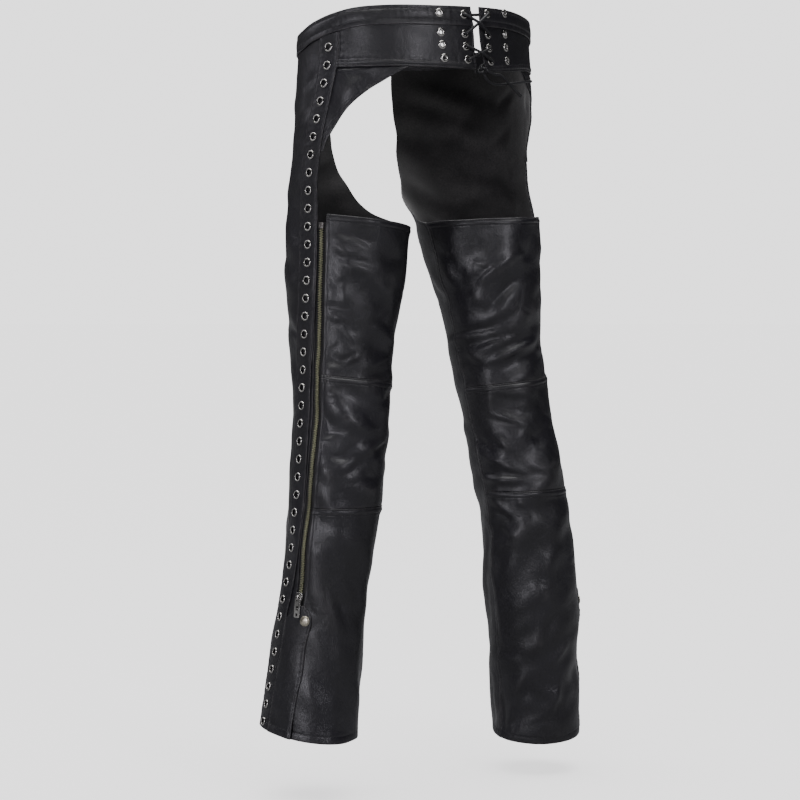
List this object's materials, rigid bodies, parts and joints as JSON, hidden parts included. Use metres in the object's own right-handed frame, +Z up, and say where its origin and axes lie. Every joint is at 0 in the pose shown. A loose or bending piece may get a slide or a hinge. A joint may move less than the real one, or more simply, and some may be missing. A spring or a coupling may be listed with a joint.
{
  "type": "leather chaps",
  "caption": "Black leather chaps in the hollow form they have when worn: two open-seated legs with a studded side strip and a long side zip, hung from one belt that laces behind.",
  "frame": {"origin": "the middle of the waist, at the height of the belt's upper edge at the sides, where the wearer holds the garment up", "axes": "+Z up along the wearer, -Y the wearer's front, +X the wearer's left"},
  "size_m": [0.4796, 0.2836, 1.015],
  "materials": {
    "leather": "black smooth grain leather with a satin sheen",
    "zip_tape": "black woven zip tape, matte",
    "antique_brass": "antique brass zip teeth, dulled",
    "aged_nickel": "aged nickel, slightly worn and warm",
    "lace_leather": "dark round leather lace, matte"
  },
  "bodies": {
    "chaps": {"belt_left": "leather", "belt_right": "leather", "yoke_left": "leather", "yoke_right": "leather", "hip_panel_left": "leather", "hip_panel_right": "leather", "front_leg_upper_left": "leather", "front_leg_upper_right": "leather", "front_leg_middle_left": "leather", "front_leg_middle_right": "leather", "front_leg_lower_left": "leather", "front_leg_lower_right": "leather", "side_strip_left": "leather", "side_strip_right": "leather", "back_thigh_left": "leather", "back_thigh_right": "leather", "back_knee_left": "leather", "back_knee_right": "leather", "back_calf_left": "leather", "back_calf_right": "leather", "vent_flap_left": "leather", "vent_flap_right": "leather", "belt_keeper": "leather", "zip_tape_left": "zip_tape", "zip_tape_right": "zip_tape", "zip_chain_left": "antique_brass", "zip_chain_right": "antique_brass", "zip_box_left": "aged_nickel", "zip_box_right": "aged_nickel", "zip_slider_left": "aged_nickel", "zip_slider_right": "aged_nickel", "snap_left": "aged_nickel", "snap_right": "aged_nickel", "buckle_frame": "aged_nickel", "buckle_prong": "aged_nickel", "back_eyelet_left_inner_1": "aged_nickel", "back_eyelet_left_inner_2": "aged_nickel", "back_eyelet_left_inner_3": "aged_nickel", "back_eyelet_left_inner_4": "aged_nickel", "back_eyelet_left_outer_1": "aged_nickel", "back_eyelet_left_outer_2": "aged_nickel", "back_eyelet_left_outer_3": "aged_nickel", "back_eyelet_left_outer_4": "aged_nickel", "back_eyelet_right_inner_1": "aged_nickel", "back_eyelet_right_inner_2": "aged_nickel", "back_eyelet_right_inner_3": "aged_nickel", "back_eyelet_right_inner_4": "aged_nickel", "back_eyelet_right_outer_1": "aged_nickel", "back_eyelet_right_outer_2": "aged_nickel", "back_eyelet_right_outer_3": "aged_nickel", "back_eyelet_right_outer_4": "aged_nickel", "back_lace": "lace_leather", "lace_knot": "lace_leather", "lace_end_long": "lace_leather", "lace_end_short": "lace_leather"},
    "pull_left": {"zip_pull_left": "aged_nickel"},
    "pull_right": {"zip_pull_right": "aged_nickel"}
  },
  "joints": [
    {"name": "pull_left_swing", "type": "hinge", "parent": "chaps", "child": "pull_left", "pos_m": [0.21439, 0.01327, -0.76551], "axis": [0.2997, -0.9527, 0.0515], "range_deg": [0, 165]},
    {"name": "pull_right_swing", "type": "hinge", "parent": "chaps", "child": "pull_right", "pos_m": [-0.22084, 0.09034, -0.76536], "axis": [0.3124, 0.9496, 0.0259], "range_deg": [0, 165]}
  ]
}
